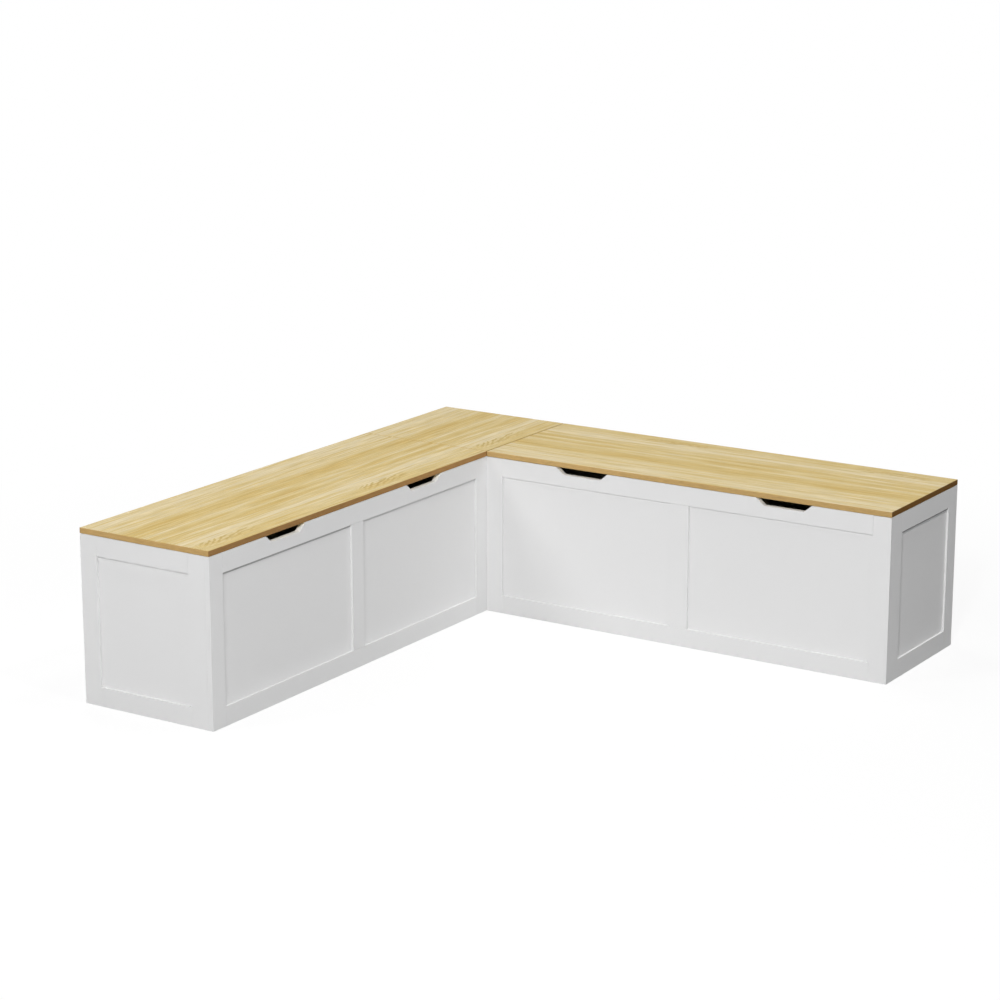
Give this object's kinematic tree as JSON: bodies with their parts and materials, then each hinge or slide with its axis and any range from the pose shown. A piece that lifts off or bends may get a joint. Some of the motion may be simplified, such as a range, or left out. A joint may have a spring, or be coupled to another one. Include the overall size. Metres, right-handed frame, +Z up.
{
  "type": "corner storage bench",
  "caption": "L-shaped storage bench: chests with hinged oak lids and framed white fronts meet at a fixed square corner top.",
  "frame": {"origin": "on the floor, under the middle of the bench's outer box, hinge barrels included", "axes": "+Z up; the rear corner is at -X +Y, one chest runs from it along -Y with its front facing +X, the other along +X with its front facing -Y"},
  "size_m": [1.6314, 1.6314, 0.457],
  "materials": {
    "white_paint": "satin white paint on smooth board",
    "oak": "matt lacquered light oak, grain along the chest",
    "zinc_steel": "bright zinc plate"
  },
  "bodies": {
    "carcass": {"corner_rear_board": "white_paint", "corner_side_board": "white_paint", "corner_post": "white_paint", "corner_left_cleat": "white_paint", "corner_right_cleat": "white_paint", "corner_top": "oak", "left_front_inner_stile": "white_paint", "left_front_outer_stile": "white_paint", "left_front_bottom_rail": "white_paint", "left_front_top_rail": "white_paint", "left_front_mullion": "white_paint", "left_front_inner_panel": "white_paint", "left_front_outer_panel": "white_paint", "left_end_front_stile": "white_paint", "left_end_rear_stile": "white_paint", "left_end_bottom_rail": "white_paint", "left_end_top_rail": "white_paint", "left_end_panel": "white_paint", "left_back_board": "white_paint", "left_partition": "white_paint", "left_rear_ledger": "white_paint", "left_front_ledger": "white_paint", "left_floor_board": "white_paint", "left_hinge_fixed_leaf": "zinc_steel", "left_hinge_pin": "zinc_steel", "left_stay_stud": "zinc_steel", "right_front_inner_stile": "white_paint", "right_front_outer_stile": "white_paint", "right_front_bottom_rail": "white_paint", "right_front_top_rail": "white_paint", "right_front_mullion": "white_paint", "right_front_inner_panel": "white_paint", "right_front_outer_panel": "white_paint", "right_end_front_stile": "white_paint", "right_end_rear_stile": "white_paint", "right_end_bottom_rail": "white_paint", "right_end_top_rail": "white_paint", "right_end_panel": "white_paint", "right_back_board": "white_paint", "right_partition": "white_paint", "right_rear_ledger": "white_paint", "right_front_ledger": "white_paint", "right_floor_board": "white_paint", "right_hinge_fixed_leaf": "zinc_steel", "right_hinge_pin": "zinc_steel", "right_stay_stud": "zinc_steel"},
    "left_lid_body": {"left_lid": "oak", "left_hinge_lid_leaf": "zinc_steel", "left_stay_bracket": "zinc_steel", "left_stay_rivet": "zinc_steel"},
    "right_lid_body": {"right_lid": "oak", "right_hinge_lid_leaf": "zinc_steel", "right_stay_bracket": "zinc_steel", "right_stay_rivet": "zinc_steel"},
    "left_stay_body": {"left_stay_arm": "zinc_steel"},
    "right_stay_body": {"right_stay_arm": "zinc_steel"}
  },
  "joints": [
    {"name": "left_lid_hinge", "type": "hinge", "parent": "carcass", "child": "left_lid_body", "pos_m": [-0.8127, -0.2062, 0.44175], "axis": [0, -1, 0], "range_deg": [0, 95]},
    {"name": "right_lid_hinge", "type": "hinge", "parent": "carcass", "child": "right_lid_body", "pos_m": [0.2062, 0.8127, 0.44175], "axis": [-1, 0, 0], "range_deg": [0, 95]},
    {"name": "left_stay_pivot", "type": "hinge", "parent": "left_lid_body", "child": "left_stay_body", "pos_m": [-0.6432, -0.79605, 0.42875], "axis": [0, -1, 0], "range_deg": [-47.5, 0]},
    {"name": "right_stay_pivot", "type": "hinge", "parent": "right_lid_body", "child": "right_stay_body", "pos_m": [0.79605, 0.6432, 0.42875], "axis": [-1, 0, 0], "range_deg": [-47.5, 0]}
  ],
  "couplings": [
    {"joint": "left_stay_pivot", "follows": "left_lid_hinge", "ratio": -0.5},
    {"joint": "right_stay_pivot", "follows": "right_lid_hinge", "ratio": -0.5}
  ]
}
